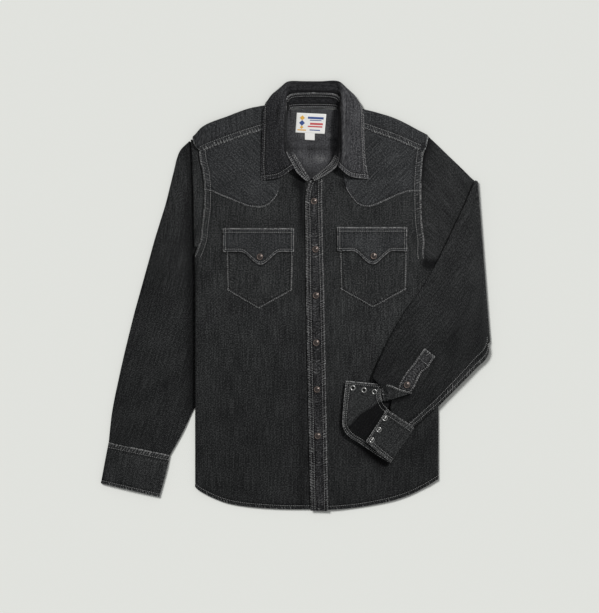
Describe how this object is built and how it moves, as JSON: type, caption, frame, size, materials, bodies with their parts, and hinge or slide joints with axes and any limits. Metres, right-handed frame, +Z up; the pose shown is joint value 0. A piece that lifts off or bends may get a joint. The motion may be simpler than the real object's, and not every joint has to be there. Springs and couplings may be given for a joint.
{
  "type": "western snap shirt",
  "caption": "Long-sleeved washed black denim western shirt with curved yokes, flap pockets and a snap placket, laid flat on its back with one sleeve folded over.",
  "frame": {"origin": "centre of the underside of the laid-out shirt, on the surface it lies on", "axes": "+X to the onlooker's right across the shirt, +Y from hem to collar, +Z up from the surface"},
  "size_m": [0.7002, 0.7749, 0.0292],
  "materials": {
    "denim_body": "washed black denim twill",
    "denim_yoke": "washed black denim twill",
    "denim_collar": "washed black denim twill, worn edges",
    "denim_trim": "washed black denim twill, puckered",
    "snap_cap": "dark gunmetal cap with a coppery rim",
    "snap_silver": "bright socket and stud rings",
    "label_cloth": "woven satin label"
  },
  "bodies": {
    "root": {"back_panel": "denim_body", "front_left": "denim_body", "front_right": "denim_body", "pocket_left": "denim_body", "pocket_right": "denim_body", "sleeve_left": "denim_body", "sleeve_left_head": "denim_body", "sleeve_right": "denim_body", "back_yoke": "denim_yoke", "front_yoke_left": "denim_yoke", "front_yoke_right": "denim_yoke", "flap_left": "denim_yoke", "flap_right": "denim_yoke", "collar": "denim_collar", "collar_stand": "denim_collar", "placket": "denim_trim", "cuff_left": "denim_trim", "cuff_right": "denim_trim", "sleeve_placket_right": "denim_trim", "snap_placket_1": "snap_cap", "snap_placket_2": "snap_cap", "snap_placket_3": "snap_cap", "snap_placket_4": "snap_cap", "snap_placket_5": "snap_cap", "snap_placket_6": "snap_cap", "snap_flap_left": "snap_cap", "snap_flap_right": "snap_cap", "snap_sleeve_right": "snap_cap", "stud_cuff_1": "snap_silver", "stud_cuff_2": "snap_silver", "stud_cuff_3": "snap_silver", "socket_cuff_1": "snap_silver", "socket_cuff_2": "snap_silver", "socket_cuff_3": "snap_silver", "label": "label_cloth", "size_tab": "label_cloth"}
  },
  "joints": []
}
